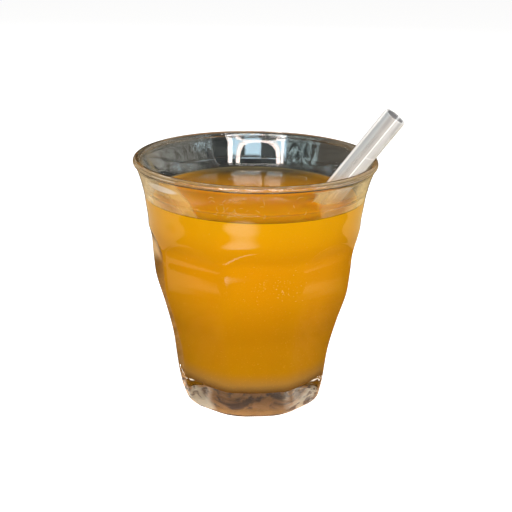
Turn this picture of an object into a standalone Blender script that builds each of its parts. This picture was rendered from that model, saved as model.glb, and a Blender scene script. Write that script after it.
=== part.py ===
"""Tumbler of orange juice with a clear drinking straw.

The tumbler is pressed glass: a round flared band under a beaded rim, and nine
flat panels below it whose tops end in arches. It stands on a thick clear base
and is smooth and round inside. Juice fills it to just under the band's middle
and climbs the wall a little. The straw leans on the rim, inside the glass.

Frame: metres, +Z up, origin at the middle of the underside. The viewer who
faces the glass looks along +Y, and the straw leans to +X.
"""

from math import atan2, cos, pi, radians, sin, tan

import bmesh
import bpy
from mathutils import Matrix, Vector

MM = 0.001
GAP = 0.3 * MM              # left between solids that touch

# Tumbler
HEIGHT = 90.0 * MM
PANELS = 9
PANEL_TURN = radians(4.6)   # the front panel faces this far round towards +X
COLUMNS = 72                # sides of everything turned on the upright axis
RIM_RADIUS = 41.67 * MM     # middle line of the beaded rim
RIM_HALF = 1.3 * MM         # half the rim's thickness
FLOOR = 9.0 * MM            # thickness of the clear base
FLOOR_ROUND = 5.0 * MM      # inside corner between floor and wall
FOOT_ROUND = 1.6 * MM       # outside edge that the glass stands on
RIDGE_ROUND = 1.1 * MM      # softening of the ridges between panels

# Outside of the round band: (height, radius) in mm
BAND = ((62.0, 37.9), (68.0, 37.95), (74.0, 38.75), (80.0, 39.75), (84.0, 40.9), (87.4, 42.2))
# Distance from the axis to the middle of a panel: (height, distance) in mm
PANEL = (
    (0.0, 25.2),
    (8.0, 26.6),
    (22.0, 28.3),
    (34.0, 31.15),
    (44.0, 34.0),
    (54.0, 35.1),
    (61.0, 35.5),
    (66.0, 37.0),
    (71.0, 41.0),
)
# Round inside wall: (height, radius) in mm
BORE = (
    (14.0, 24.3),
    (22.0, 25.6),
    (30.0, 27.3),
    (38.0, 29.8),
    (46.0, 31.7),
    (54.0, 32.5),
    (61.0, 33.3),
    (66.0, 34.9),
    (72.0, 36.2),
    (80.0, 37.5),
    (86.0, 39.1),
    (87.8, 39.8),
)

# Juice
LEVEL = 74.6 * MM           # height of the flat surface
CLIMB = 2.4 * MM            # how far the juice climbs the wall
CLIMB_WIDTH = 4.0 * MM      # how far from the wall the climb starts

# Straw
STRAW_RADIUS = 4.0 * MM
STRAW_BORE = 3.0 * MM
STRAW_LENGTH = 117.0 * MM
STRAW_LEAN = radians(35.5)  # from upright
STRAW_AZIMUTH = radians(-15.7)
STRAW_LIFT = 0.8 * MM       # between the glass floor and the straw's lower edge
STRAW_SIDES = 32


def smooth_radius(stations, height):
    """Radius at a height, on a smooth curve through (height, radius) stations in mm."""
    height = min(max(height / MM, stations[0][0]), stations[-1][0])
    slopes = []
    for index in range(len(stations)):
        low = stations[max(index - 1, 0)]
        high = stations[min(index + 1, len(stations) - 1)]
        slopes.append((high[1] - low[1]) / (high[0] - low[0]))
    for index in range(len(stations) - 1):
        (z0, r0), (z1, r1) = stations[index], stations[index + 1]
        if height <= z1:
            span = z1 - z0
            t = (height - z0) / span
            start = (1 + 2 * t) * (1 - t) ** 2 * r0 + t * (1 - t) ** 2 * span * slopes[index]
            end = t * t * (3 - 2 * t) * r1 + t * t * (t - 1) * span * slopes[index + 1]
            return (start + end) * MM
    return stations[-1][1] * MM


def arc(centre, radius, start, end, steps):
    """Points (radius, height) along an arc, angles in degrees from outward towards up."""
    points = []
    for step in range(steps + 1):
        angle = radians(start + (end - start) * step / steps)
        points.append((centre[0] + radius * cos(angle), centre[1] + radius * sin(angle)))
    return points


def rows(low, high, step):
    """Evenly spaced heights from low to high, both included, about a step apart."""
    count = max(1, round((high - low) / step))
    return [low + (high - low) * index / count for index in range(count + 1)]


def bore_profile(inset, top):
    """Inside wall from the axis up to a height, moved in by an inset."""
    corner = smooth_radius(BORE, FLOOR + FLOOR_ROUND) - FLOOR_ROUND
    points = [(0.0, FLOOR + inset)]
    points += arc((corner, FLOOR + FLOOR_ROUND), FLOOR_ROUND - inset, -90, 0, 5)
    for height in rows(FLOOR + FLOOR_ROUND, top, 4.0 * MM)[1:]:
        points.append((smooth_radius(BORE, height) - inset, height))
    return points


def turn(profile, sides, first_angle=0.0):
    """Solid of revolution about Z from (radius, height) points that end on the axis."""
    bm = bmesh.new()
    verts = [bm.verts.new((radius, 0.0, height)) for radius, height in profile]
    edges = [bm.edges.new(pair) for pair in zip(verts, verts[1:])]
    bmesh.ops.spin(
        bm,
        geom=verts + edges,
        cent=(0, 0, 0),
        axis=(0, 0, 1),
        angle=2 * pi,
        steps=sides,
        use_merge=True,
    )
    bmesh.ops.remove_doubles(bm, verts=bm.verts, dist=1e-6)
    bmesh.ops.recalc_face_normals(bm, faces=bm.faces)
    bmesh.ops.rotate(bm, verts=bm.verts, matrix=Matrix.Rotation(first_angle, 3, "Z"))
    return bm


def add_object(name, bm, material=None):
    """Store a bmesh as a smooth-shaded object."""
    mesh = bpy.data.meshes.new(name)
    bm.to_mesh(mesh)
    bm.free()
    mesh.shade_smooth()
    mesh.set_sharp_from_angle(angle=radians(35))
    if material:
        mesh.materials.append(material)
    item = bpy.data.objects.new(name, mesh)
    bpy.context.scene.collection.objects.link(item)
    return item


def add_cutter(name, bm):
    """Store a bmesh as a helper for a Boolean, hidden from the render."""
    item = add_object(name, bm)
    item.hide_render = True
    item.display_type = "WIRE"
    return item


def boolean(item, cutter, operation):
    """Cut or trim an object with a helper."""
    modifier = item.modifiers.new(cutter.name, "BOOLEAN")
    modifier.operation = operation
    modifier.solver = "EXACT"
    modifier.object = cutter


def make_material(name, color, roughness, transmission=0.0, ior=1.45):
    """Principled material with the part's own colour."""
    material = bpy.data.materials.new(name)
    material.use_nodes = True
    shader = material.node_tree.nodes["Principled BSDF"]
    shader.inputs["Base Color"].default_value = (*color, 1.0)
    shader.inputs["Roughness"].default_value = roughness
    shader.inputs["Metallic"].default_value = 0.0
    shader.inputs["Transmission Weight"].default_value = transmission
    shader.inputs["IOR"].default_value = ior
    material.diffuse_color = (*color, 1.0)
    return material


def round_glass():
    """The tumbler as if it had no panels: bore, beaded rim, band and a straight barrel."""
    rim = (RIM_RADIUS, HEIGHT - RIM_HALF)
    profile = bore_profile(0.0, BORE[-1][0] * MM)
    profile += arc(rim, RIM_HALF, 180, -50, 9)
    for height in reversed(rows(BAND[0][0] * MM, BAND[-1][0] * MM, 2.6 * MM)[:-1]):
        profile.append((smooth_radius(BAND, height), height))
    profile += [(BAND[0][1] * MM, 0.0), (0.0, 0.0)]
    return turn(profile, COLUMNS, PANEL_TURN - pi / 2 + pi / COLUMNS)


def panel_block():
    """Nine-sided block whose flat sides are the panels, flaring away above the arches."""
    to_ridge = 1.0 / cos(pi / PANELS)
    foot = smooth_radius(PANEL, 0.0)
    profile = [(0.0, 0.0)]
    profile += arc((foot - FOOT_ROUND, FOOT_ROUND), FOOT_ROUND, -90, -15, 3)
    for height in rows(3.0 * MM, 58.0 * MM, 3.2 * MM) + rows(59.5 * MM, PANEL[-1][0] * MM, 1.2 * MM):
        profile.append((smooth_radius(PANEL, height), height))
    profile.append((RIM_RADIUS + 10 * MM, HEIGHT + 5 * MM))
    profile.append((0.0, HEIGHT + 5 * MM))
    profile = [(radius * to_ridge, height) for radius, height in profile]
    bm = turn(profile, PANELS, PANEL_TURN - pi / 2 + pi / PANELS)
    ridges = []
    for edge in bm.edges:
        a, b = (vert.co for vert in edge.verts)
        apart = atan2(a.x * b.y - a.y * b.x, a.x * b.x + a.y * b.y)
        if min(a.xy.length, b.xy.length) > MM and abs(apart) < 0.01:
            if max(a.z, b.z) < HEIGHT and min(a.xy.length, b.xy.length) > foot:
                ridges.append(edge)
    bmesh.ops.bevel(
        bm,
        geom=ridges,
        offset=RIDGE_ROUND,
        offset_type="OFFSET",
        segments=2,
        profile=0.5,
        affect="EDGES",
        material=-1,
    )
    return bm


def juice_body():
    """Juice up to its level, hollowed a little where it climbs the wall."""
    top = LEVEL + CLIMB
    profile = bore_profile(GAP * 1.05, top)
    edge = profile[-1][0]
    for step in range(1, 7):
        t = step / 6
        profile.append((edge - 0.15 * MM - CLIMB_WIDTH * t, LEVEL + CLIMB * (1 - t) ** 2.6))
    profile.insert(-6, (edge - 0.15 * MM, top))
    profile.append((0.0, LEVEL))
    return turn(profile, COLUMNS, PANEL_TURN - pi / 2 + pi / COLUMNS)


def straw_axis():
    """Placement of the straw: its foot near the far corner, its side against the rim."""
    reach = RIM_HALF + STRAW_RADIUS + GAP
    near_rim = RIM_RADIUS - reach * cos(STRAW_LEAN)
    near_rim_height = HEIGHT - RIM_HALF + reach * sin(STRAW_LEAN)
    foot_height = FLOOR + STRAW_LIFT + STRAW_RADIUS * sin(STRAW_LEAN)
    foot = near_rim - (near_rim_height - foot_height) * tan(STRAW_LEAN)
    spin = Matrix.Rotation(STRAW_AZIMUTH, 4, "Z")
    tilt = Matrix.Rotation(STRAW_LEAN, 4, "Y")
    return spin @ Matrix.Translation(Vector((foot, 0.0, foot_height))) @ tilt


def tube(outer, inner, low, high):
    """Open-ended tube about Z."""
    bm = bmesh.new()
    corners = ((inner, low), (outer, low), (outer, high), (inner, high))
    verts = [bm.verts.new((radius, 0.0, height)) for radius, height in corners]
    edges = [bm.edges.new(pair) for pair in zip(verts, verts[1:] + verts[:1])]
    bmesh.ops.spin(
        bm,
        geom=verts + edges,
        cent=(0, 0, 0),
        axis=(0, 0, 1),
        angle=2 * pi,
        steps=STRAW_SIDES,
        use_merge=True,
    )
    bmesh.ops.recalc_face_normals(bm, faces=bm.faces)
    return bm


for item in list(bpy.data.objects):
    bpy.data.objects.remove(item, do_unlink=True)

clear_glass = make_material("clear_glass", (0.93, 0.95, 0.95), 0.03, 1.0, 1.5)
orange_juice = make_material("orange_juice", (0.75, 0.33, 0.012), 0.12, 0.0, 1.35)
clear_straw = make_material("clear_straw", (0.93, 0.93, 0.94), 0.06, 1.0, 1.5)

panels = add_cutter("panel_block", panel_block())
glass = add_object("glass", round_glass(), clear_glass)
boolean(glass, panels, "INTERSECT")

straw = add_object("straw", tube(STRAW_RADIUS, STRAW_BORE, 0.0, STRAW_LENGTH), clear_straw)
straw.matrix_world = straw_axis()

straw_room = tube(STRAW_RADIUS + GAP, STRAW_BORE - GAP, -GAP, STRAW_LENGTH)
straw_cutter = add_cutter("straw_room", straw_room)
straw_cutter.matrix_world = straw_axis()
juice = add_object("juice", juice_body(), orange_juice)
boolean(juice, straw_cutter, "DIFFERENCE")
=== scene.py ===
"""Looks of the tumbler of orange juice: fine glass, juice, straw and flecks of pulp."""

import random
from math import atan2, cos, exp, pi, radians, sin, sqrt, tan

import bmesh
import bpy
from mathutils import Matrix, Vector, noise


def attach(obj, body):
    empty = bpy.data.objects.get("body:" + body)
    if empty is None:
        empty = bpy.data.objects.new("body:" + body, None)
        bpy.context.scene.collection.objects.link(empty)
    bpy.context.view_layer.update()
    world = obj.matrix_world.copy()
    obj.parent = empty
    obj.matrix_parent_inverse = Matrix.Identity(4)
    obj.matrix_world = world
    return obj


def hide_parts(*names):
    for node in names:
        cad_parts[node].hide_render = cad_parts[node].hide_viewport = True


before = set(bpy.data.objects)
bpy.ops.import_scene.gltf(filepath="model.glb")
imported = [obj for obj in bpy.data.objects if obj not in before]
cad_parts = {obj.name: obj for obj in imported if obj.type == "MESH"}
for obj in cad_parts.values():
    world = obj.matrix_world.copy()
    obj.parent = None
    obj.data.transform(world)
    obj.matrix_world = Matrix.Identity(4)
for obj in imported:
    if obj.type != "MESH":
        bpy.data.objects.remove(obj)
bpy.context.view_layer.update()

MM = 0.001

# Tumbler: its main sizes are those of the solids
HEIGHT = 90.0 * MM
PANELS = 9
PANEL_TURN = radians(4.6)   # the front panel is turned this far to the right
RIM_RADIUS = 41.63 * MM     # to the middle of the rim's bead
RIM_HALF = 1.3 * MM         # radius of the bead itself
RIM_ZONE = 2.4 * MM         # depth below the brim that is finished as the rim
FLOOR = 9.0 * MM            # thickness of the clear base
FLOOR_ROUND = 5.0 * MM      # corner between the floor and the inside wall
FOOT_ROUND = 2.2 * MM

# Outside of the round band: (height, radius) in mm
BAND = (
    (62.0, 37.9),
    (68.0, 37.95),
    (74.0, 38.73),
    (77.0, 39.14),
    (80.0, 39.75),
    (82.0, 40.27),
    (84.0, 40.87),
    (86.0, 41.56),
    (87.4, 42.12),
)

# Middle of a panel: (height, distance from the axis) in mm
PANEL = (
    (0.0, 25.2),
    (8.0, 26.6),
    (22.0, 28.3),
    (34.0, 31.15),
    (44.0, 34.0),
    (50.0, 34.75),
    (55.0, 35.15),
    (59.0, 35.45),
    (62.0, 36.2),
    (66.0, 38.0),
    (70.0, 41.0),
)

# Inside wall: (height, radius) in mm
BORE = (
    (14.0, 24.3),
    (22.0, 25.6),
    (30.0, 27.3),
    (38.0, 29.8),
    (46.0, 31.7),
    (54.0, 32.5),
    (61.0, 33.3),
    (66.0, 34.9),
    (71.0, 36.0),
    (74.0, 36.48),
    (77.0, 36.89),
    (80.0, 37.50),
    (82.0, 38.02),
    (84.0, 38.62),
    (86.0, 39.31),
    (87.8, 40.02),
)

COLUMNS = 270               # sides of everything turned on the upright axis
RIDGE_SOFT = 1.2 * MM       # width over which two panels blend into a ridge
FOOT_SOFT = 4.2 * MM        # the same at the foot, which is nearly round
FOOT_REACH = 16.0 * MM      # height at which the ridges are back to their own width
DISH = 0.9 * MM             # hollow of the underside, inside its standing ring
DISH_GRAIN = 0.10 * MM      # its uneven pressing
DISH_EDGE = 0.86            # share of the foot's radius at which the dish begins
DISH_SLOPE = 0.14           # share over which it reaches its depth
GRAIN_SIZE = 2.3 * MM
PANELS_END = 50.0 * MM      # up to here the outside is the panels alone
BAND_START = 71.0 * MM      # from here on it is the round band alone
ARCH_SOFT = 0.5 * MM        # width over which a panel blends into the band
SEAM_HEIGHT = 80.0 * MM     # faint ring left by the mould
SEAM_RISE = 0.07 * MM
SEAM_WIDTH = 0.3 * MM

# Juice
LEVEL = 75.9 * MM           # flat part of its top
CLIMB = 1.1 * MM            # climb at the wall
CLIMB_REACH = 1.1 * MM      # how fast it dies away from the wall
STRAW_CLIMB = 0.6 * MM      # climb at the straw
STRAW_CLIMB_REACH = 1.2 * MM
# The dark colour of this film is painted shade
FILM_START = 0.85 * MM      # above its level the climbing juice is only a dark film from here
INTO_WALL = 0.06 * MM       # the juice reaches this far into the glass, so no air shows
CLIMB_ROWS = (0.1, 0.2, 0.35, 0.5, 0.75, 1.0, 1.3, 1.7, 2.2, 2.8, 3.5, 4.3, 5.2)  # mm from the wall

# Pulp, placed by angles to the right of the front
FIBRES = 44
FIBRE_POINTS = 9
FIBRE_RADIUS = 0.055 * MM
FIBRE_CLUSTER = (-0.36, 0.10)   # where two thirds of the fibres are
FIBRE_SPREAD = (-0.9, 0.7)      # where the others are
SPECKS = 420
SPECK_CLUSTER = (0.22, 52.0)    # angle and height in mm of the densest patch
SPECK_SPREAD = (0.17, 3.6)      # its spread

# Straw
STRAW_RADIUS = 4.0 * MM
STRAW_BORE = 3.0 * MM
STRAW_LENGTH = 117.0 * MM
STRAW_LEAN = radians(35.5)
STRAW_AZIMUTH = radians(-15.7)
STRAW_LIFT = 0.8 * MM       # above the glass floor
STRAW_ROUND = 0.3 * MM      # softened ends
STRAW_SIDES = 72
GAP = 0.3 * MM              # between the straw and the rim

# Camera
CAMERA_DISTANCE = 375.5 * MM
CAMERA_TILT = radians(20.03)
CAMERA_ROLL = radians(1.02)
CAMERA_AIM = 45.0 * MM      # height on the axis
PICTURE_SIDE = 512          # pixels
FOCAL_LENGTH = 1026.4       # pixels
PICTURE_SHIFT = (2.42, 20.3)    # pixels
SENSOR = 36                 # mm


# Shader maths

class Value:
    """A shader socket that Python expressions can work with."""

    def __init__(self, finish, socket):
        self.finish = finish
        self.socket = socket

    def maths(self, operation, *others):
        return self.finish.node("Math", dict(operation=operation), self, *others)

    def __add__(self, other):
        return self.maths("ADD", other)

    __radd__ = __add__

    def __mul__(self, other):
        return self.maths("MULTIPLY", other)

    __rmul__ = __mul__

    def __sub__(self, other):
        return self.maths("SUBTRACT", other)

    def __rsub__(self, other):
        return self.finish.node("Math", dict(operation="SUBTRACT"), other, self)

    def __truediv__(self, other):
        return self.maths("DIVIDE", other)

    def __pow__(self, other):
        return self.maths("POWER", other)

    def __neg__(self):
        return self * -1.0

    def over(self, other):
        return self.maths("GREATER_THAN", other)

    def ramp(self, low, high):
        """0 below low, 1 above high and smooth between."""
        settings = dict(interpolation_type="SMOOTHSTEP")
        return self.finish.node("MapRange", settings, self, low, high, 0.0, 1.0)


class Finish:
    """Builds the nodes of one material or of the world."""

    def __init__(self, owner):
        owner.use_nodes = True
        self.tree = owner.node_tree
        self.tree.nodes.clear()

    def node(self, kind, settings, *inputs, out=0, **named):
        """A node of a kind: settings first, then its sockets by place or by name."""
        item = self.tree.nodes.new("ShaderNode" + kind)
        for key, setting in settings.items():
            setattr(item, key, setting)
        sockets = [socket for socket in item.inputs if socket.enabled]
        for socket, given in zip(sockets, inputs):
            self.feed(socket, given)
        for name, given in named.items():
            self.feed(item.inputs[name.replace("_", " ")], given)
        return Value(self, item.outputs[out])

    def feed(self, socket, given):
        if isinstance(given, Value):
            self.tree.links.new(given.socket, socket)
        elif socket.type == "RGBA" and len(given) == 3:
            socket.default_value = (*given, 1.0)
        else:
            socket.default_value = given

    def place(self):
        return self.node("TexCoord", {}, out="Object")

    def parts(self, vector):
        item = self.node("SeparateXYZ", {}, vector)
        outputs = item.socket.node.outputs
        return [Value(self, output) for output in outputs]

    def noise(self, vector, scale, detail=3.0, roughness=0.5, distortion=0.0):
        return self.node(
            "TexNoise",
            {},
            Vector=vector,
            Scale=scale,
            Detail=detail,
            Roughness=roughness,
            Distortion=distortion,
        )

    def stretched(self, vector, scale):
        return self.node("Mapping", {}, Vector=vector, Scale=scale)

    def blend(self, share, first, second):
        item = self.tree.nodes.new("ShaderNodeMix")
        item.data_type = "RGBA"
        for name, given in (("Factor_Float", share), ("A_Color", first), ("B_Color", second)):
            socket = next(s for s in item.inputs if s.identifier == name)
            self.feed(socket, given)
        output = next(s for s in item.outputs if s.identifier == "Result_Color")
        return Value(self, output)

    def bump(self, height, distance, strength):
        return self.node(
            "Bump", {}, Height=height, Distance=distance, Strength=strength, out="Normal"
        )

    def show(self, shader, kind="Material"):
        target = self.tree.nodes.new("ShaderNodeOutput" + kind)
        self.tree.links.new(shader.socket, target.inputs["Surface"])


def new_material(name):
    material = bpy.data.materials.new(name)
    return material, Finish(material)


def between(value, low, high, soft):
    """1 between two limits, with soft sides."""
    return value.ramp(low - soft, low + soft) * (1.0 - value.ramp(high - soft, high + soft))


# Shapes of the tumbler

def smooth_radius(stations, height):
    """Radius at a height, on a smooth curve through (height, radius) stations in mm."""
    height = min(max(height / MM, stations[0][0]), stations[-1][0])
    slopes = []
    for index in range(len(stations)):
        low = stations[max(index - 1, 0)]
        high = stations[min(index + 1, len(stations) - 1)]
        slopes.append((high[1] - low[1]) / (high[0] - low[0]))
    for index in range(len(stations) - 1):
        (z0, r0), (z1, r1) = stations[index], stations[index + 1]
        if height <= z1:
            span = z1 - z0
            t = (height - z0) / span
            start = (1 + 2 * t) * (1 - t) ** 2 * r0 + t * (1 - t) ** 2 * span * slopes[index]
            end = t * t * (3 - 2 * t) * r1 + t * t * (t - 1) * span * slopes[index + 1]
            return (start + end) * MM
    return stations[-1][1] * MM


def soft_min(a, b, width):
    """The smaller of two, blended where they are within a width of each other."""
    near = max(width - abs(a - b), 0.0) / width
    return min(a, b) - near * near * width / 4


def arc(centre, radius, start, end, steps):
    """Points (radius, height) along an arc, angles in degrees from outward towards up."""
    points = []
    for step in range(steps + 1):
        angle = radians(start + (end - start) * step / steps)
        points.append((centre[0] + radius * cos(angle), centre[1] + radius * sin(angle)))
    return points


def rows(start, end, step):
    """Evenly spaced values from start to end, either way, both included, about a step apart."""
    count = max(1, round(abs(end - start) / step))
    return [start + (end - start) * index / count for index in range(count + 1)]


def panel_distance(height):
    """Distance from the axis to the middle of a panel, rounded in at the foot."""
    distance = smooth_radius(PANEL, height)
    if height < FOOT_ROUND:
        drop = FOOT_ROUND - height
        distance -= FOOT_ROUND - sqrt(max(FOOT_ROUND**2 - drop * drop, 0.0))
    return distance


def outside_radius(azimuth, height, middle, band):
    """Radius of the outside at an azimuth, from the panel's middle and the round band."""
    pitch = 2 * pi / PANELS
    off = (azimuth - (PANEL_TURN - pi / 2) + pitch / 2) % pitch - pitch / 2
    own = middle / cos(off)
    neighbour = middle / cos(pitch - abs(off))
    low = max(1.0 - height / FOOT_REACH, 0.0) ** 1.5
    ridge = soft_min(own, neighbour, RIDGE_SOFT + (FOOT_SOFT - RIDGE_SOFT) * low)
    if height < PANELS_END:
        return ridge
    return soft_min(ridge, band, ARCH_SOFT)


def bore_profile(outset, top, step):
    """Inside wall from the axis up to a height, moved outwards by an outset."""
    corner = smooth_radius(BORE, FLOOR + FLOOR_ROUND) - FLOOR_ROUND
    flat = FLOOR - outset
    points = [(0.0, flat)]
    points += [(corner * part, flat) for part in (0.2, 0.4, 0.6, 0.8)]
    points += arc((corner, FLOOR + FLOOR_ROUND), FLOOR_ROUND + outset, -90, 0, 12)
    for height in rows(FLOOR + FLOOR_ROUND, top, step)[1:]:
        points.append((smooth_radius(BORE, height) + outset, height))
    return points


def turn(profile, sides, closed=False):
    """Solid about Z from (radius, height) points that end on the axis or close in a loop."""
    bm = bmesh.new()
    verts = [bm.verts.new((radius, 0.0, height)) for radius, height in profile]
    following = verts[1:] + verts[:1] if closed else verts[1:]
    edges = [bm.edges.new(pair) for pair in zip(verts, following)]
    bmesh.ops.spin(
        bm,
        geom=verts + edges,
        cent=(0, 0, 0),
        axis=(0, 0, 1),
        angle=2 * pi,
        steps=sides,
        use_merge=True,
    )
    bmesh.ops.remove_doubles(bm, verts=bm.verts, dist=1e-7)
    bmesh.ops.recalc_face_normals(bm, faces=bm.faces)
    return bm


def new_object(name, data):
    """An object with its data, in the scene."""
    item = bpy.data.objects.new(name, data)
    bpy.context.scene.collection.objects.link(item)
    return item


def store(name, bm, *materials):
    """A finished piece from a bmesh: smooth, at the origin, with its materials."""
    mesh = bpy.data.meshes.new(name)
    bm.to_mesh(mesh)
    bm.free()
    mesh.shade_smooth()
    mesh.set_sharp_from_angle(angle=radians(40))
    for material in materials:
        mesh.materials.append(material)
    return new_object(name, mesh)


def finished_mesh(piece):
    """A mesh of the piece as its curve or its modifiers make it."""
    graph = bpy.context.evaluated_depsgraph_get()
    return bpy.data.meshes.new_from_object(piece.evaluated_get(graph))


# Finishes

GLASS_TINT = (0.985, 0.992, 0.99)
GLASS_IOR = 1.5
JUICE_IOR = 1.35
# Painted glow: stands in for the light that the table throws back onto the underside
PAINTED_BOUNCE_GLOW = 0.17           # little of the scene's light reaches the underside


def let_lamps_through(finish, shader):
    """Lamp light passes straight through, so that it reaches what the glass holds."""
    lamp = finish.node("LightPath", {}, out="Is Shadow Ray")
    through = finish.node("BsdfTransparent", {}, (1.0, 1.0, 1.0))
    return finish.node("MixShader", {}, lamp, shader, through)


def clear(finish, tint, roughness, ior, **more):
    """Clear glass or plastic, which bends light."""
    return finish.node(
        "BsdfPrincipled",
        {},
        Base_Color=tint,
        Roughness=roughness,
        IOR=ior,
        Transmission_Weight=1.0,
        **more,
    )


def pressed_glass():
    """Clear pressed glass with faint waves all over."""
    material, finish = new_material("pressed_glass")
    place = finish.place()
    waves = finish.noise(finish.stretched(place, (1.0, 1.0, 0.6)), 55.0, 2.0, 0.45)
    ripple = finish.noise(place, 260.0, 2.0, 0.5)
    normal = finish.bump(waves * 0.8 + ripple * 0.03, 0.0005, 0.22)
    glass = clear(finish, GLASS_TINT, 0.0, GLASS_IOR, Normal=normal)
    finish.show(let_lamps_through(finish, glass))
    return material


def film_and_painted_reflection_glass():
    """Rim and inside wall above the juice: the same glass, with dried film that is partly a painted
    reflection, a painted highlight and painted reflections in fine lines along the rim.
    """
    material, finish = new_material("film_and_painted_reflection_glass")
    place = finish.place()
    x, y, height = finish.parts(place)
    turned = x.maths("ARCTAN2", -y)
    aside = turned.maths("ABSOLUTE")
    out = (x * x + y * y) ** 0.5
    on_rim = height.ramp(0.0868, 0.0882)

    # Dried film of juice at both sides, partly a painted reflection, and a painted highlight high
    # at the left
    uneven = (finish.noise(place, 90.0, 3.0, 0.5) - 0.5) * 0.12
    lean = (height - 0.080) * 16.0
    left = (-turned - lean + uneven).ramp(0.52, 0.56) * turned.ramp(-1.66, -1.42)
    right = (turned + lean + uneven).ramp(0.57, 0.63) * turned.ramp(1.66, 1.42)
    fresh_film_and_reflection = left * (-turned - lean).ramp(0.95, 0.62)
    painted_highlight_patch = ((turned + 0.86) / 0.20) ** 2.0 + ((height - 0.0848) / 0.0012) ** 2.0
    painted_highlight_patch = 1.0 - painted_highlight_patch.ramp(0.5, 1.3)

    # Painted reflections along the rim, by the angle round its bead: broken dark lines and pale
    # highlight lines
    wrapped = finish.node("CombineXYZ", {}, x, y, (height - out) * 50.0)
    ridges = finish.noise(wrapped, 30.0, 2.0, 0.6)
    broken = finish.noise(place, 110.0, 3.0, 0.6)
    slope = (height - (HEIGHT - RIM_HALF)).maths("ARCTAN2", out - RIM_RADIUS)
    slope = slope + (broken - 0.5) * 0.5
    dark = between(slope, 1.35, 1.95, 0.10) + between(slope, 0.45, 0.65, 0.06) * 0.8
    dark = (dark + between(slope, -0.95, -0.35, 0.08)) * broken.ramp(0.30, 0.45) * on_rim
    dark = dark * aside.ramp(2.5, 2.1)
    pale = between(slope, 1.05, 1.20, 0.06) + between(slope, 0.10, 0.22, 0.05)
    pale = pale * broken.ramp(0.42, 0.55) * on_rim
    # Painted tan reflection over the bead, strongest in front
    rim = aside.ramp(0.95, 0.45) * 0.10 + between(aside, 0.75, 2.3, 0.4) * 0.05 + 0.02
    rim = (rim + dark * 0.75 + pale * 0.25) * on_rim

    # Colours: the film, the painted highlight, the painted tan reflection on the bead, then the
    # painted pale and dark lines
    tint = finish.blend(fresh_film_and_reflection, (0.56, 0.47, 0.28), (0.85, 0.58, 0.20))
    tint = finish.blend(painted_highlight_patch, tint, (0.95, 0.86, 0.70))
    tint = finish.blend(on_rim, tint, (0.42, 0.33, 0.21))
    tint = finish.blend(pale, tint, (0.98, 0.94, 0.86))
    tint = finish.blend(dark, tint, (0.05, 0.035, 0.02))
    film_and_painted_reflections = finish.node("BsdfPrincipled", {}, Base_Color=tint, Roughness=0.9, Specular_IOR_Level=0.0)
    normal = finish.bump(ridges * on_rim, 0.0005, 0.5)
    glass = clear(finish, GLASS_TINT, 0.0, GLASS_IOR, Normal=normal)
    share = ((left + right) * 0.26 + painted_highlight_patch * 0.25 + fresh_film_and_reflection * 0.15).maths("MAXIMUM", rim)
    finish.show(let_lamps_through(finish, finish.node("MixShader", {}, share, glass, film_and_painted_reflections)))
    return material


def stippled_underside():
    """Underside of the tumbler: the same glass, pitted and dull, with painted reflections in
    patches that glow with painted bounce light.
    """
    material, finish = new_material("stippled_underside")
    place = finish.place()
    x, y = finish.parts(place)[:2]
    blots = finish.noise(finish.stretched(place, (1.0, 0.28, 1.0)), 290.0, 2.0, 0.5)
    aside = (x * x).ramp(0.00007, 0.00016)
    pits = finish.node("TexVoronoi", {}, Vector=place, Scale=620.0, out="Distance")
    grain = finish.noise(place, 420.0, 3.0, 0.6)
    roughness = grain.ramp(0.35, 0.65) * 0.3 + 0.04
    normal = finish.bump(pits * 0.6 + grain * 0.4, 0.0005, 0.2)
    glass = clear(finish, (0.96, 0.93, 0.88), roughness, GLASS_IOR, Normal=normal)
    # Painted reflections: dark and amber blots, pale patches at the sides, amber-brown in front
    painted_reflections = finish.blend(blots.ramp(0.40, 0.60), (0.19, 0.16, 0.145), (0.74, 0.44, 0.23))
    painted_reflections = finish.blend(aside * blots.ramp(0.38, 0.50), painted_reflections, (0.98, 0.90, 0.70))
    ahead = (-y).ramp(0.010, 0.014) * (1.0 - aside)
    painted_reflections = finish.blend(ahead, painted_reflections, (0.58, 0.33, 0.14))
    dull = finish.node(
        "BsdfPrincipled",
        {},
        Base_Color=painted_reflections,
        Roughness=0.6,
        Emission_Color=painted_reflections,
        Emission_Strength=PAINTED_BOUNCE_GLOW,
    )
    mixed = finish.node("MixShader", {}, 0.72, glass, dull)
    finish.show(let_lamps_through(finish, mixed))
    return material


def juice_in_glass():
    """Cloudy juice against the glass, with painted shade lower down and at the bottom, painted
    light near the top and a painted dark line where its top meets the glass.
    """
    material, finish = new_material("juice_in_glass")
    place = finish.place()
    height = finish.parts(place)[2]
    clouds = finish.noise(finish.stretched(place, (1.0, 1.0, 1.6)), 30.0, 3.0, 0.5)
    grain = finish.noise(place, 1500.0, 2.0, 0.6)
    pale = finish.blend(clouds.ramp(0.25, 0.75), (0.735, 0.325, 0.0003), (0.75, 0.335, 0.0005))
    shaded_low = finish.blend(clouds.ramp(0.25, 0.75), (0.56, 0.250, 0.0004), (0.58, 0.268, 0.0006))
    # Painted shade: darker lower down
    color = finish.blend(height.ramp(0.012, 0.066), shaded_low, pale)
    # Painted light: brighter and yellower near the top
    color = finish.blend(height.ramp(0.056, 0.074), color, (0.795, 0.395, 0.001))
    # Painted shade: darker and browner at the bottom
    color = finish.blend(height.ramp(0.0190, 0.0095), color, (0.40, 0.225, 0.06))
    # Painted dark line of shade where the top meets the glass
    color = finish.blend(height.ramp(0.07660, 0.07680), color, (0.30, 0.11, 0.001))
    color = finish.blend(grain.ramp(0.58, 0.8) * 0.35, color, (0.88, 0.46, 0.06))
    shader = finish.node(
        "BsdfPrincipled",
        {},
        Base_Color=color,
        Roughness=0.6,
        Specular_IOR_Level=0.0,
        Subsurface_Weight=0.3,
        Subsurface_Radius=(1.0, 0.9, 0.4),
        Subsurface_Scale=0.002,
    )
    finish.show(shader)
    return material


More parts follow.
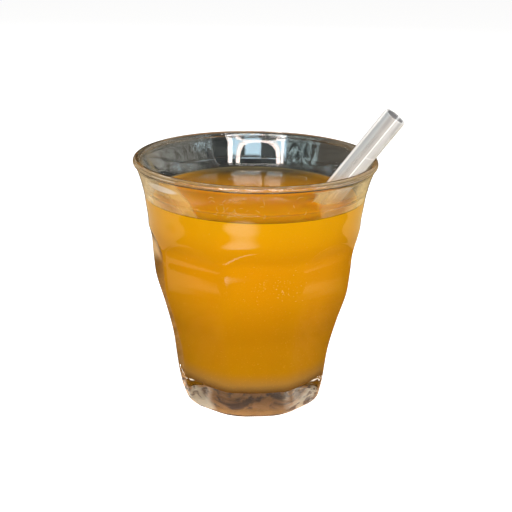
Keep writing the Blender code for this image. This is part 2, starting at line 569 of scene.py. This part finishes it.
def juice_surface():
    """Top of the juice: orange, with painted light making it brighter in front and painted shade
    darkening it to olive towards the back.
    """
    material, finish = new_material("juice_surface")
    place = finish.place()
    x, y, height = finish.parts(place)
    clouds = finish.noise(place, 60.0, 4.0, 0.6)
    color = finish.blend(clouds.ramp(0.3, 0.7), (0.74, 0.270, 0.001), (0.80, 0.300, 0.002))
    # Painted shade: dark olive towards the back
    painted_back_shade = (y + (clouds - 0.5) * 0.004).ramp(-0.013, 0.038)
    # Painted light: brighter orange towards the front and on the climb at the front wall
    color = finish.blend(y.ramp(-0.008, -0.028), color, (0.93, 0.375, 0.001))
    at_wall = (x * x + y * y).ramp(0.0011, 0.0012)   # 33 to 35 mm from the axis, squared
    painted_light_front_climb = height.ramp(LEVEL, LEVEL + 0.5 * MM) * y.ramp(0.012, -0.012) * at_wall
    color = finish.blend(painted_light_front_climb, color, (1.0, 0.50, 0.001))
    color = finish.blend(painted_back_shade, color, (0.20, 0.110, 0.012))
    color = finish.blend(y.ramp(0.025, 0.035), color, (0.085, 0.068, 0.036))
    ripple = finish.noise(place, 130.0, 2.0, 0.5)
    shader = finish.node(
        "BsdfPrincipled",
        {},
        Base_Color=color,
        Roughness=0.05,
        IOR=JUICE_IOR,
        Normal=finish.bump(ripple, 0.0004, 0.12),
        Subsurface_Weight=1.0,
        Subsurface_Radius=(1.0, 0.9, 0.4),
        Subsurface_Scale=0.002,
    )
    finish.show(shader)
    return material


def juice_film_painted_shade():
    """Thin film where the juice climbs the glass: painted shade makes it much darker than the rest.
    """
    material, finish = new_material("juice_film_painted_shade")
    tint = finish.noise(finish.place(), 90.0, 3.0, 0.5)
    color = finish.blend(tint.ramp(0.35, 0.65), (0.095, 0.080, 0.045), (0.135, 0.110, 0.055))
    shader = finish.node("BsdfPrincipled", {}, Base_Color=color, Roughness=0.08, IOR=JUICE_IOR)
    finish.show(shader)
    return material


def straw_plastic(name, milk_low, milk_high, painted_end_shade):
    """Clear plastic with milky streaks along it, painted shading across it, painted white
    highlights at its edges and in lines, a painted reflection of the juice low down and painted
    shade and light in patches in the upper end of the bore.
    """
    material, finish = new_material(name)
    place = finish.node("Attribute", dict(attribute_name="along_straw"), out="Vector")
    across, _, along = finish.parts(place)
    across = across * (1.0 / STRAW_RADIUS)
    broad = finish.noise(finish.stretched(place, (1.0, 1.0, 0.03)), 330.0, 1.0, 0.5)
    fine = finish.noise(finish.stretched(place, (1.0, 1.0, 0.015)), 1500.0, 2.0, 0.5)
    streaks = broad.ramp(0.38, 0.60) * 0.6 + fine.ramp(0.35, 0.70) * 0.4
    # Painted shading across the straw: blue-grey at one side, growing lighter towards the other
    color = finish.blend(across.ramp(-0.60, -0.25), (0.43, 0.46, 0.48), (0.54, 0.52, 0.50))
    color = finish.blend(across.ramp(0.25, 0.45), color, (0.72, 0.73, 0.73))
    color = finish.blend(across.ramp(0.62, 0.88), color, (0.86, 0.87, 0.87))

    # Painted highlights: two lines along the straw and one short bar across it
    lines = between(across, -0.93, -0.78, 0.05) + between(across, 0.20, 0.31, 0.04)
    painted_highlight_mark = between(along - across * 0.0012, 0.1000, 0.1004, 0.0003)
    lines = lines + painted_highlight_mark * across.ramp(0.28, 0.36) * 0.6
    color = finish.blend(lines, color, (0.97, 0.98, 0.98))

    # A painted reflection of the juice colours the lower part; painted highlights keep the edges
    # white above it
    color = finish.blend(along.ramp(0.092, 0.080), color, (0.62, 0.36, 0.08))
    edges = across.ramp(0.70, 0.92) + across.ramp(-0.80, -0.96)
    color = finish.blend(edges * along.ramp(0.080, 0.092), color, (0.95, 0.96, 0.96))
    # Painted shade and painted light in patches inside the bore at the upper end
    ending = along.ramp(0.107, 0.114)
    inside = finish.blend(broad.ramp(0.44, 0.56), (0.16, 0.16, 0.17), (0.80, 0.81, 0.82))
    color = finish.blend(ending * painted_end_shade, color, inside)

    milky = finish.node("BsdfPrincipled", {}, Base_Color=color, Roughness=0.12, IOR=1.3)
    share = streaks * (milk_high - milk_low) + milk_low + (lines + edges) * 0.3
    share = share + ending * (0.15 + 0.6 * painted_end_shade)
    plastic = clear(finish, (0.96, 0.97, 0.97), 0.03, 1.49)
    mixed = finish.node("MixShader", {}, share, plastic, milky)
    finish.show(let_lamps_through(finish, mixed))
    return material


def pulp(name, low, high):
    """Bits of pulp and tiny bubbles, a little uneven in colour."""
    material, finish = new_material(name)
    patches = finish.noise(finish.place(), 700.0, 2.0, 0.5)
    color = finish.blend(patches.ramp(0.35, 0.65), low, high)
    shader = finish.node("BsdfPrincipled", {}, Base_Color=color, Roughness=0.45)
    finish.show(shader)
    return material


# Pieces

def make_glass(wall, underside, inside):
    """The tumbler: turned in one piece, then its panels and its dish pushed into shape."""
    top = BORE[-1][0] * MM
    profile = bore_profile(0.0, top, 1.1 * MM)
    rim = (RIM_RADIUS, HEIGHT - RIM_HALF)
    profile += arc(rim, RIM_HALF, 180, -50, 22)
    heights = [height for height in rows(0.0, 78.5 * MM, 0.62 * MM) if height > FOOT_ROUND]
    heights += rows(79.0 * MM, 81.0 * MM, 0.16 * MM) + rows(81.6 * MM, 87.0 * MM, 0.6 * MM)
    outer = []
    for height in reversed(heights):
        outer.append((smooth_radius(BAND, height), height))
    foot = [FOOT_ROUND * (1 - cos(radians(angle))) for angle in range(90, -1, -10)]
    outer += [(RIM_RADIUS, height) for height in foot]
    under = [(RIM_RADIUS * part, 0.0) for part in rows(0.97, 0.03, 0.03)]
    profile += outer + under + [(0.0, 0.0)]
    bm = turn(profile, COLUMNS)
    lowest_bore = FLOOR - 0.1 * MM
    foot_radius = panel_distance(0.0)
    for vert in bm.verts:
        co = vert.co
        radius = co.xy.length
        if radius < 1e-6 or co.z > top:
            continue
        if co.z > lowest_bore and radius < smooth_radius(BORE, co.z) + 0.3 * MM:
            continue
        azimuth = atan2(co.y, co.x)
        if co.z < 1e-7:
            part = radius / RIM_RADIUS
            wanted = outside_radius(azimuth, 0.0, foot_radius, 1.0) * part
            hollow = min(max((DISH_EDGE - part) / DISH_SLOPE, 0.0), 1.0)
            grain = noise.noise(Vector((co.x, co.y, 0.0)) * (wanted / radius) / GRAIN_SIZE)
            co.z = hollow * hollow * (3 - 2 * hollow) * (DISH + DISH_GRAIN * grain)
        else:
            band = smooth_radius(BAND, co.z)
            band += SEAM_RISE * exp(-(((co.z - SEAM_HEIGHT) / SEAM_WIDTH) ** 2))
            middle = panel_distance(co.z)
            wanted = outside_radius(azimuth, co.z, middle, band) if co.z < BAND_START else band
        co.xy *= wanted / radius
    bmesh.ops.recalc_face_normals(bm, faces=bm.faces)
    for face in bm.faces:
        centre = face.calc_center_median()
        under_base = face.normal.z < -0.5 and centre.z < DISH * 1.6
        on_rim = centre.z > HEIGHT - RIM_ZONE
        above_juice = centre.z > LEVEL and face.normal.dot(centre) < centre.z * 0.2
        if under_base and centre.xy.length < foot_radius * 0.98:
            face.material_index = 1
        elif on_rim or above_juice:
            face.material_index = 2
    piece = store("tumbler", bm, wall, underside, inside)
    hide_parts("glass")
    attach(piece, "root")


def straw_axis():
    """Placement of the straw: its foot near the far corner, its side against the rim."""
    reach = RIM_HALF + STRAW_RADIUS + GAP
    near_rim = RIM_RADIUS - reach * cos(STRAW_LEAN)
    near_rim_height = HEIGHT - RIM_HALF + reach * sin(STRAW_LEAN)
    foot_height = FLOOR + STRAW_LIFT + STRAW_RADIUS * sin(STRAW_LEAN)
    foot = near_rim - (near_rim_height - foot_height) * tan(STRAW_LEAN)
    spin = Matrix.Rotation(STRAW_AZIMUTH, 4, "Z")
    tilt = Matrix.Rotation(STRAW_LEAN, 4, "Y")
    return spin @ Matrix.Translation(Vector((foot, 0.0, foot_height))) @ tilt


def tube(outer, inner, low, high, rounding=0.0, step=1.0):
    """Open-ended tube about Z, with softened ends where a rounding is given."""
    if not rounding:
        square = [(inner, low), (outer, low), (outer, high), (inner, high)]
        return turn(square, STRAW_SIDES, closed=True)
    bottom, top = low + rounding, high - rounding
    profile = arc((inner + rounding, bottom), rounding, 180, 270, 4)
    profile += arc((outer - rounding, bottom), rounding, 270, 360, 4)
    profile += [(outer, height) for height in rows(bottom, top, step)[1:-1]]
    profile += arc((outer - rounding, top), rounding, 0, 90, 4)
    profile += arc((inner + rounding, top), rounding, 90, 180, 4)
    profile += [(inner, height) for height in rows(top, bottom, step)[1:-1]]
    return turn(profile, STRAW_SIDES, closed=True)


def make_straw(outside, bore):
    """The straw, which keeps each point's place along its own axis for its streaks."""
    bm = tube(STRAW_RADIUS, STRAW_BORE, 0.0, STRAW_LENGTH, STRAW_ROUND, 3.0 * MM)
    own_place = bm.verts.layers.float_vector.new("along_straw")
    for vert in bm.verts:
        vert[own_place] = vert.co
    for face in bm.faces:
        if face.calc_center_median().xy.length < STRAW_BORE + 0.1 * MM:
            face.material_index = 1
    bmesh.ops.transform(bm, matrix=straw_axis(), verts=bm.verts)
    piece = store("drinking_straw", bm, outside, bore)
    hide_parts("straw")
    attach(piece, "root")


def make_juice(side, surface, film):
    """Juice up to its level, climbing the glass and the straw a little."""
    top = LEVEL + CLIMB
    profile = bore_profile(INTO_WALL, top, 1.3 * MM)
    wall = profile[-1][0]
    for away in CLIMB_ROWS:
        profile.append((wall - away * MM, LEVEL + CLIMB * exp(-away * MM / CLIMB_REACH)))
    inner = profile[-1][0]
    for radius in rows(inner, 1.0 * MM, 0.55 * MM)[1:]:
        profile.append((radius, LEVEL))
    profile.append((0.0, LEVEL))
    bm = turn(profile, COLUMNS)
    axis = straw_axis()
    to_straw = axis.inverted()
    for face in bm.faces:
        centre = face.calc_center_median()
        if centre.z > LEVEL + FILM_START:
            face.material_index = 2
        elif face.normal.z > 0.05 and centre.z > LEVEL - 0.2 * MM:
            face.material_index = 1
    for vert in bm.verts:
        if vert.co.z > LEVEL - 0.05 * MM and vert.co.xy.length < wall - 0.05 * MM:
            away = (to_straw @ vert.co).xy.length
            if away > STRAW_RADIUS:
                rise = exp(-(away - STRAW_RADIUS) / STRAW_CLIMB_REACH) * STRAW_CLIMB
            else:
                rise = STRAW_CLIMB * min(away / STRAW_BORE, 1.0) ** 2
            vert.co.z += rise
    piece = store("orange_juice", bm, side, surface, film)

    # Room for the wall of the straw, which the juice reaches just into
    room = tube(STRAW_RADIUS - INTO_WALL, STRAW_BORE + INTO_WALL, -0.05 * MM, STRAW_LENGTH)
    bmesh.ops.transform(room, matrix=axis, verts=room.verts)
    cutter = store("straw_room", room)
    cut = piece.modifiers.new("straw_room", "BOOLEAN")
    cut.operation = "DIFFERENCE"
    cut.solver = "EXACT"
    cut.object = cutter
    mesh = finished_mesh(piece)
    piece.modifiers.clear()
    piece.data = mesh
    bpy.data.objects.remove(cutter, do_unlink=True)
    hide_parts("juice")
    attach(piece, "root")


def on_bore(azimuth, height, outset):
    """Point at the inside wall, at an angle to the right of the front."""
    radius = smooth_radius(BORE, height) + outset
    return Vector((radius * sin(azimuth), -radius * cos(azimuth), height))


def make_fibres(draw, material):
    """Hair-thin fibres of pulp, stuck to the inside wall above the juice."""
    curve = bpy.data.curves.new("pulp_fibres", "CURVE")
    curve.dimensions = "3D"
    curve.bevel_depth = FIBRE_RADIUS
    curve.bevel_resolution = 1
    curve.use_fill_caps = True
    for index in range(FIBRES):
        reach = FIBRE_CLUSTER if index < FIBRES * 2 // 3 else FIBRE_SPREAD
        azimuth = draw.uniform(*reach)
        height = draw.uniform(LEVEL + 2.2 * MM, LEVEL + 10.0 * MM)
        heading = draw.uniform(0.0, pi)
        bend = draw.uniform(-0.35, 0.35)
        stretch = draw.uniform(0.8, 3.2) * MM
        spline = curve.splines.new("POLY")
        spline.points.add(FIBRE_POINTS - 1)
        for step, point in enumerate(spline.points):
            spot = on_bore(azimuth, height, -0.03 * MM)
            point.co = (*spot, 1.0)
            point.radius = 1.0 - 0.6 * abs(2 * step / (FIBRE_POINTS - 1) - 1)
            azimuth += cos(heading) * stretch / FIBRE_POINTS / spot.xy.length
            height += sin(heading) * stretch / FIBRE_POINTS
            heading += bend
    piece = new_object("pulp_fibres", curve)
    mesh = finished_mesh(piece)
    bpy.data.objects.remove(piece, do_unlink=True)
    mesh.materials.clear()
    mesh.materials.append(material)
    mesh.shade_smooth()
    piece = new_object("pulp_fibres", mesh)
    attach(piece, "root")


def make_specks(draw, material):
    """Tiny bits of pulp and bubbles against the inside of the glass."""
    bm = bmesh.new()
    for index in range(SPECKS):
        if index < SPECKS // 3:
            azimuth = draw.gauss(SPECK_CLUSTER[0], SPECK_SPREAD[0])
            height = draw.gauss(SPECK_CLUSTER[1], SPECK_SPREAD[1]) * MM
            size = draw.uniform(0.05, 0.15) * MM
        else:
            azimuth = draw.uniform(-pi, pi)
            height = draw.uniform(16.0, 73.0) * MM
            size = draw.uniform(0.04, 0.10) * MM
        added = bmesh.ops.create_icosphere(bm, subdivisions=1, radius=size)["verts"]
        squash = (draw.uniform(0.6, 1.6), draw.uniform(0.35, 0.6), draw.uniform(0.5, 1.3))
        bmesh.ops.transform(bm, matrix=Matrix.Diagonal(squash).to_4x4(), verts=added)
        spin = Matrix.Rotation(azimuth, 4, "Z")
        bmesh.ops.transform(bm, matrix=spin, verts=added)
        bmesh.ops.translate(bm, verts=added, vec=on_bore(azimuth, height, INTO_WALL))
    piece = store("pulp_specks", bm, material)
    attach(piece, "root")


# Stage: floor, lamps and what the glass mirrors

def make_floor():
    """Pale floor; what the glass bends and mirrors is a tan table, shaded near the glass."""
    bm = bmesh.new()
    bmesh.ops.create_grid(bm, x_segments=1, y_segments=1, size=6.0)
    bmesh.ops.translate(bm, verts=bm.verts, vec=(0, 0, -0.0004))
    material, finish = new_material("pale_floor")
    path = finish.node("LightPath", {})
    outputs = path.socket.node.outputs
    camera = Value(finish, outputs["Is Camera Ray"])
    scattered = Value(finish, outputs["Diffuse Depth"]).over(0.5)
    place = finish.place()
    x, y = finish.parts(place)[:2]
    wobble = finish.noise(place, 24.0, 3.0, 0.55) - 0.5
    out = (x * x + y * y) ** 0.5

    # The lit parts of the table at both sides, and its dark part behind
    left = (y + 0.069 + (x + 0.100) * 0.47 + wobble * 0.010).ramp(-0.004, 0.004)
    left = left * (-x).ramp(0.055, 0.075)
    right = (y + 0.044 - (x - 0.111) * 1.3 + wobble * 0.006).ramp(-0.004, 0.004)
    right = right * x.ramp(0.055, 0.075)
    front = 1.0 - (y + 0.01).ramp(-0.012, 0.012)
    far = (out + wobble * 0.012).ramp(0.110, 0.124) * front
    far = far + out.ramp(0.150, 0.175) * (1.0 - front)
    behind = x.maths("ARCTAN2", y).maths("ABSOLUTE")
    aside = (behind + wobble * 0.2).ramp(0.34, 0.60)
    glint = 1.0 - (((x + 0.040) / 0.048) ** 2.0 + ((y + 0.156) / 0.022) ** 2.0).ramp(0.1, 1.6)

    blots = finish.noise(place, 190.0, 4.0, 0.6, 0.6)
    # Round the foot: wood blots lit by a painted caustic of juice-coloured light
    amber = finish.blend(blots.ramp(0.42, 0.58), (0.16, 0.11, 0.10), (1.10, 0.62, 0.30))
    shade = finish.blend(blots.ramp(0.35, 0.65), (0.27, 0.13, 0.04), (0.46, 0.24, 0.08))
    gloom = finish.blend(wobble.ramp(-0.15, 0.15), (0.026, 0.028, 0.028), (0.052, 0.056, 0.052))
    table = finish.blend((y + 0.045).ramp(0.022, -0.022), shade, gloom)
    table = finish.blend(out.ramp(0.027, 0.038), amber, table)
    table = finish.blend(out.ramp(0.10, 0.17), table, gloom)
    table = finish.blend(left * far * aside, table, (1.00, 0.72, 0.40))
    table = finish.blend(right * far * aside, table, (0.95, 0.68, 0.30))
    table = finish.blend(glint, table, (2.3, 2.7, 2.3))
    seen = finish.node("Emission", {}, Color=table, Strength=1.0)
    bounce = finish.node("BsdfDiffuse", {}, Color=(0.22, 0.17, 0.13))
    unseen = finish.node("MixShader", {}, scattered, seen, bounce)
    paper = finish.node("BsdfDiffuse", {}, Color=(0.9, 0.9, 0.9))
    glow = finish.node("Emission", {}, Color=(1.0, 1.0, 1.0), Strength=0.75)
    pale = finish.node("AddShader", {}, paper, glow)
    finish.show(finish.node("MixShader", {}, camera, unseen, pale))
    floor = store("floor", bm, material)


def make_lamp(name, azimuth, elevation, distance, width, height, color, power):
    """A soft box at an azimuth to the right of the front, lighting only what is cloudy."""
    azimuth, elevation = radians(azimuth), radians(elevation)
    away = Vector((sin(azimuth) * cos(elevation), -cos(azimuth) * cos(elevation), sin(elevation)))
    lamp = bpy.data.lights.new(name, "AREA")
    lamp.shape = "RECTANGLE"
    lamp.size = width
    lamp.size_y = height
    lamp.color = color
    lamp.energy = power * width * height * pi
    item = new_object(name, lamp)
    item.location = away * distance + Vector((0, 0, 0.05))
    item.rotation_euler = away.to_track_quat("Z", "Y").to_euler()
    item.visible_camera = False
    item.visible_glossy = False
    item.visible_transmission = False


def make_surroundings():
    """Pale to the camera, a dim room with one bright window in the glass, soft light else."""
    world = bpy.data.worlds.new("room")
    bpy.context.scene.world = world
    world.cycles.sampling_method = "NONE"
    finish = Finish(world)
    path = finish.node("LightPath", {})
    outputs = path.socket.node.outputs
    camera = Value(finish, outputs["Is Camera Ray"])
    scattered = Value(finish, outputs["Diffuse Depth"]).over(0.5)
    direction = finish.node("TexCoord", {}, out="Generated")
    x, y, z = finish.parts(direction)
    turned = x.maths("ARCTAN2", -y) * (180.0 / pi)   # degrees to the right of the front
    rise = z.maths("ARCSINE") * (180.0 / pi)         # degrees above the floor
    aside = turned.maths("ABSOLUTE")
    leaves = finish.noise(finish.stretched(direction, (1.0, 1.0, 0.5)), 17.0, 4.0, 0.65, 0.5)

    # Walls, ceiling and the windows at both sides
    room = finish.blend(aside.ramp(60.0, 115.0), (0.075, 0.085, 0.09), (0.40, 0.26, 0.13))
    room = finish.blend(between(aside, 118.0, 150.0, 8.0), room, (1.25, 1.10, 0.90))
    room = finish.blend(aside.ramp(144.0, 160.0), room, (0.030, 0.020, 0.012))
    room = finish.blend(between(aside, 66.0, 116.0, 12.0), room, (0.45, 0.34, 0.23))
    room = finish.blend(rise.ramp(32.0, 62.0), room, (0.45, 0.44, 0.42))
    left_side = between(turned, 48.0, 128.0, 3.0) * between(rise, -10.0, 42.0, 4.0)
    room = finish.blend(left_side * leaves.ramp(0.35, 0.65), room, (1.9, 1.9, 1.7))
    gleam = between(turned, 50.0, 72.0, 3.0) * between(rise, 17.0, 38.0, 2.0)
    room = finish.blend(gleam * leaves.ramp(0.46, 0.54), room, (3.0, 3.7, 3.9))
    right_side = between(turned, -70.0, -35.0, 3.0) * between(rise, 6.0, 36.0, 3.0)
    room = finish.blend(right_side * leaves.ramp(0.50, 0.55), room, (3.4, 4.4, 4.4))

    # Window in front: sky and leaves in two panes, a pale arch across it and bars beside it
    panes = between(turned, -6.0, 29.0, 0.8) + between(turned, -34.0, -15.0, 0.8)
    sky = panes * between(rise, 14.0, 37.0, 0.7)
    ring_x, ring_y = (turned + 2.8) ** 2.0, (rise - 8.0) ** 2.0
    outer = (ring_x * (1 / 24.8**2)) ** 1.6 + (ring_y * (1 / 22.5**2)) ** 1.6
    inner = (ring_x * (1 / 20.6**2)) ** 1.6 + (ring_y * (1 / 20.0**2)) ** 1.6
    inside = 1.0 - inner.ramp(0.96, 1.04)
    dark = inside * (between(turned, 12.0, 40.0, 0.8) + between(turned, -40.0, -6.0, 0.8))
    leafy = leaves.ramp(0.42, 0.50) * (1.0 - rise.ramp(15.0, 18.0))
    room = finish.blend(sky, room, (6.0, 8.4, 9.8))
    room = finish.blend(sky * leafy, room, (0.6, 0.75, 0.75))
    room = finish.blend(dark, room, (0.25, 0.28, 0.30))
    bars = between(turned, 26.5, 31.0, 0.5) + between(turned, -31.0, -28.6, 0.5)
    room = finish.blend(bars * between(rise, 6.5, 35.0, 1.0), room, (24.0, 22.0, 21.0))
    arch = (1.0 - outer.ramp(0.96, 1.04)) * (1.0 - inside) * rise.ramp(6.5, 7.5)
    room = finish.blend(arch, room, (22.0, 19.0, 17.5))
    sill = between(turned, -32.0, 31.0, 0.5) * between(rise, 6.4, 7.6, 0.2)
    room = finish.blend(sill, room, (20.0, 19.0, 18.0))
    upper = between(turned, -8.0, 27.0, 1.5) + between(turned, -33.0, -12.0, 1.5) * 0.45
    room = finish.blend(upper * between(rise, 38.5, 46.5, 1.5), room, (38.0, 31.0, 25.0))

    # Even light for what scatters it, white for the camera
    soft = finish.blend(z.ramp(-0.2, 0.9), (0.30, 0.29, 0.28), (0.20, 0.20, 0.20))
    color = finish.blend(scattered, room, soft)
    color = finish.blend(camera, color, (1.0, 1.0, 1.0))
    finish.show(finish.node("Background", {}, Color=color, Strength=1.0), "World")


def make_camera():
    """Camera in front and a little above, rolled a little."""
    camera = bpy.data.cameras.new("camera")
    camera.lens = FOCAL_LENGTH / PICTURE_SIDE * SENSOR
    camera.sensor_width = SENSOR
    camera.shift_x = PICTURE_SHIFT[0] / PICTURE_SIDE
    camera.shift_y = PICTURE_SHIFT[1] / PICTURE_SIDE
    camera.clip_start = 0.01
    item = new_object("camera", camera)
    away = Vector((0, -cos(CAMERA_TILT), sin(CAMERA_TILT)))
    place = Vector((0, 0, CAMERA_AIM)) + away * CAMERA_DISTANCE
    look = away.to_track_quat("Z", "Y").to_matrix().to_4x4()
    roll = Matrix.Rotation(CAMERA_ROLL, 4, "Z")
    item.matrix_world = Matrix.Translation(place) @ look @ roll
    bpy.context.scene.camera = item


bpy.context.scene.view_settings.view_transform = "Standard"
make_camera()
make_surroundings()
make_floor()
make_lamp("front_soft_box", 0, 30, 0.6, 0.5, 0.4, (1.0, 0.98, 0.95), 6.0)
make_lamp("left_soft_box", -68, 30, 0.7, 0.5, 0.4, (1.0, 0.98, 0.95), 2.6)
make_lamp("right_soft_box", 68, 30, 0.7, 0.5, 0.4, (1.0, 0.98, 0.95), 3.4)
make_lamp("back_soft_box", 180, 35, 1.0, 0.8, 0.5, (1.0, 0.99, 0.98), 1.2)
make_glass(pressed_glass(), stippled_underside(), film_and_painted_reflection_glass())
make_straw(
    straw_plastic("straw_outside", 0.35, 0.85, 0.0),
    straw_plastic("straw_bore", 0.0, 0.2, 1.0),
)
make_juice(juice_in_glass(), juice_surface(), juice_film_painted_shade())
draw = random.Random(7)
make_fibres(draw, pulp("pale_pulp", (0.86, 0.54, 0.13), (0.92, 0.68, 0.28)))
make_specks(draw, pulp("golden_pulp", (0.88, 0.48, 0.06), (0.92, 0.60, 0.18)))
